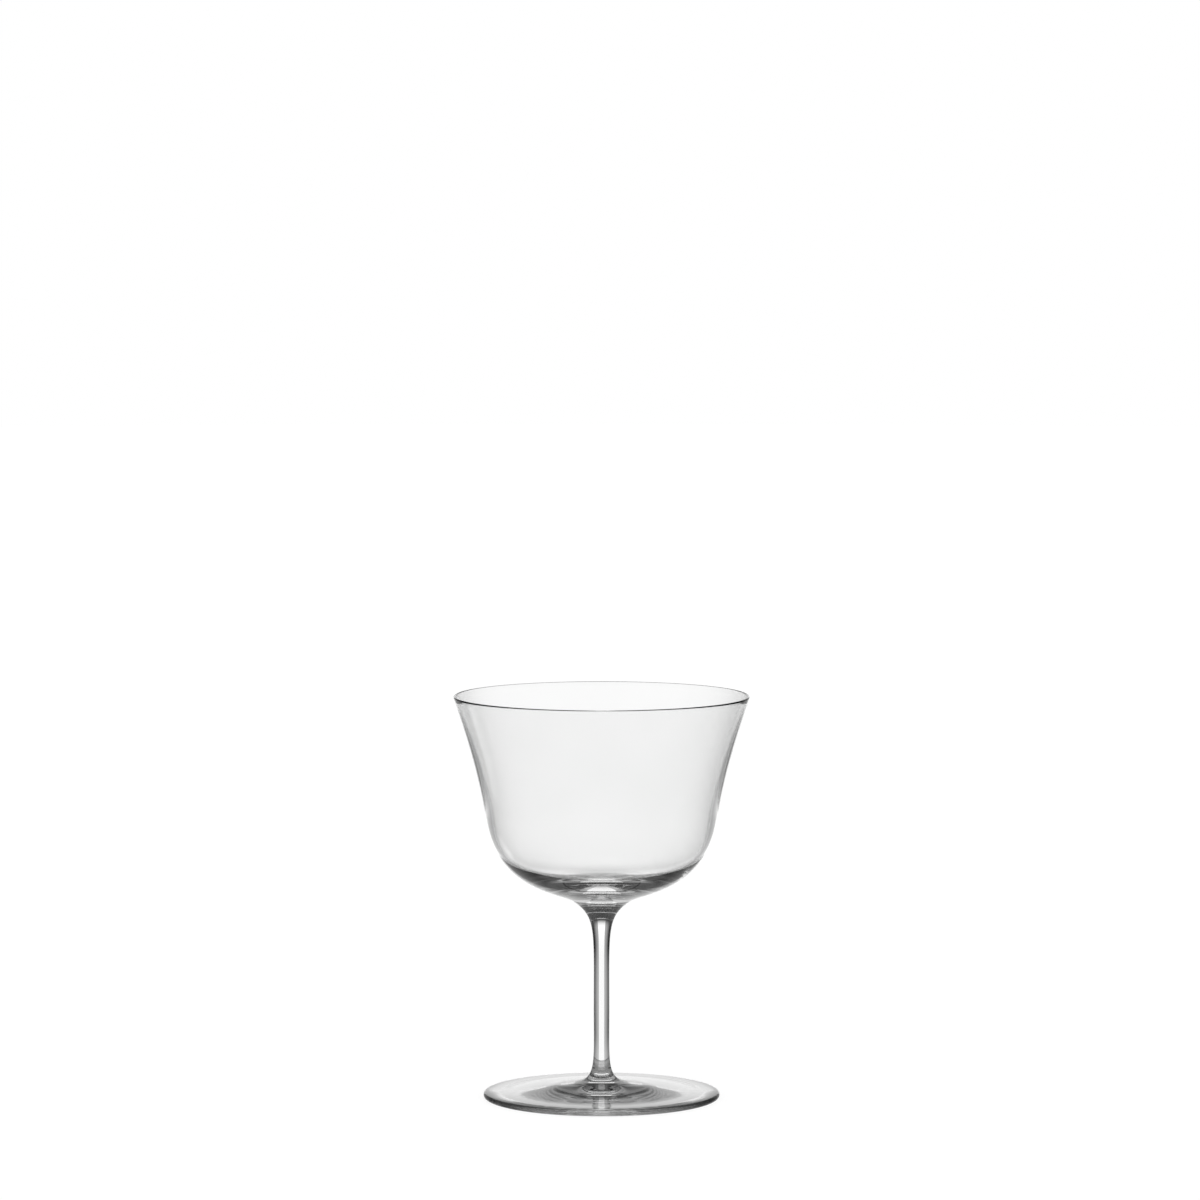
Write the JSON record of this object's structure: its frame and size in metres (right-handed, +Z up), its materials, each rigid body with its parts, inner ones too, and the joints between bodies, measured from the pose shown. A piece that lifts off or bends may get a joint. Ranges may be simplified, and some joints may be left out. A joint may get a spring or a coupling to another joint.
{
  "type": "champagne glass",
  "caption": "Clear stemmed champagne glass: a flared thin-walled bowl with a thick rounded base on a slender drawn stem and a low conical foot.",
  "frame": {"origin": "on the axis of the glass, in the plane that the foot stands on", "axes": "+Z up along the axis of the glass; X and Y lie in the table plane, and the glass is round about Z"},
  "size_m": [0.095, 0.095, 0.13],
  "materials": {
    "bowl_crystal": "clear, fire-polished",
    "stem_crystal": "clear, fire-polished",
    "foot_crystal": "clear, fire-polished"
  },
  "bodies": {
    "root": {"bowl": "bowl_crystal", "stem": "stem_crystal", "foot": "foot_crystal"}
  },
  "joints": []
}
